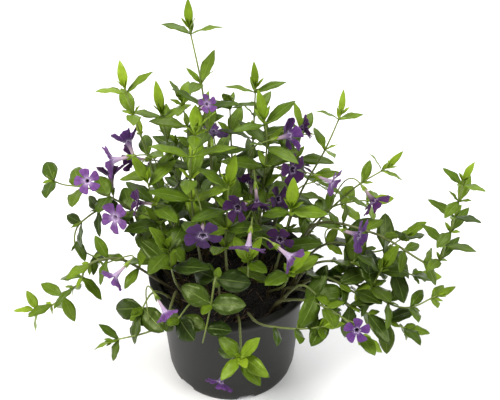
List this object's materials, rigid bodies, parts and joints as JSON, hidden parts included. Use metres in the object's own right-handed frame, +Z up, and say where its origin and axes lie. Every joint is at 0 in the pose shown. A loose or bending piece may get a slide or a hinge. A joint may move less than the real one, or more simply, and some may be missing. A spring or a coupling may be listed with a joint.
{
  "type": "potted lesser periwinkle",
  "caption": "Bushy purple-flowered lesser periwinkle with upright and trailing leafy stems, growing in soil in a round tapered nursery pot.",
  "frame": {"origin": "on the floor under the middle of the pot, which is also the middle of the whole plant's outline from above to within 3 mm", "axes": "+Z up, +X to the right and +Y away from the viewer in the picture"},
  "size_m": [0.3403, 0.2155, 0.3336],
  "materials": {
    "pot": "matt moulded plastic, dark grey",
    "soil": "dark brown crumbly potting compost of peat and bark",
    "young-leaf": "smooth satin leaf, yellow-green",
    "mid-leaf": "smooth satin leaf, mid green",
    "dark-leaf": "glossy evergreen leaf, dark green",
    "light-petal": "matt soft petal, light violet",
    "mid-petal": "matt soft petal, violet",
    "dark-petal": "matt soft petal, deep plum violet"
  },
  "bodies": {
    "root": {"pot": "pot", "soil": "soil", "tall-shoot": "mid-leaf", "left-tall-shoot": "young-leaf", "back-left-shoots": "mid-leaf", "bright-shoot": "young-leaf", "back-middle-shoots": "mid-leaf", "middle-shoot": "mid-leaf", "inner-shoots": "mid-leaf", "right-tall-shoots": "young-leaf", "back-right-shoots": "mid-leaf", "left-shoot": "mid-leaf", "right-inner-shoots": "mid-leaf", "front-left-shoot": "dark-leaf", "right-arch": "young-leaf", "right-far-stems": "mid-leaf", "right-middle-stems": "dark-leaf", "right-low-stem": "dark-leaf", "right-front-stems": "mid-leaf", "left-long-stem": "mid-leaf", "left-loop-stem": "dark-leaf", "left-far-stems": "young-leaf", "left-front-stems": "dark-leaf", "front-drop": "young-leaf", "front-dark-stem": "dark-leaf", "front-round-stem": "dark-leaf", "front-cross-stem": "mid-leaf", "back-left-low": "dark-leaf", "back-low": "mid-leaf", "back-right-low": "dark-leaf", "bloom-01": "light-petal", "bloom-02": "light-petal", "bloom-03": "mid-petal", "bloom-04": "light-petal", "bloom-05": "dark-petal", "bloom-06": "dark-petal", "bloom-07": "light-petal", "bloom-08": "dark-petal", "bloom-09": "mid-petal", "bloom-10": "dark-petal", "bloom-11": "dark-petal", "bloom-12": "dark-petal", "bloom-13": "dark-petal", "bloom-14": "mid-petal", "bloom-15": "light-petal", "bloom-16": "dark-petal", "bloom-17": "light-petal", "bloom-18": "light-petal", "bloom-19": "dark-petal", "bloom-20": "mid-petal", "bloom-21": "mid-petal", "bloom-22": "light-petal", "bloom-23": "light-petal", "bloom-24": "mid-petal", "bloom-25": "dark-petal", "bloom-26": "mid-petal", "bloom-27": "light-petal", "bloom-28": "mid-petal", "bloom-29": "dark-petal"}
  },
  "joints": []
}
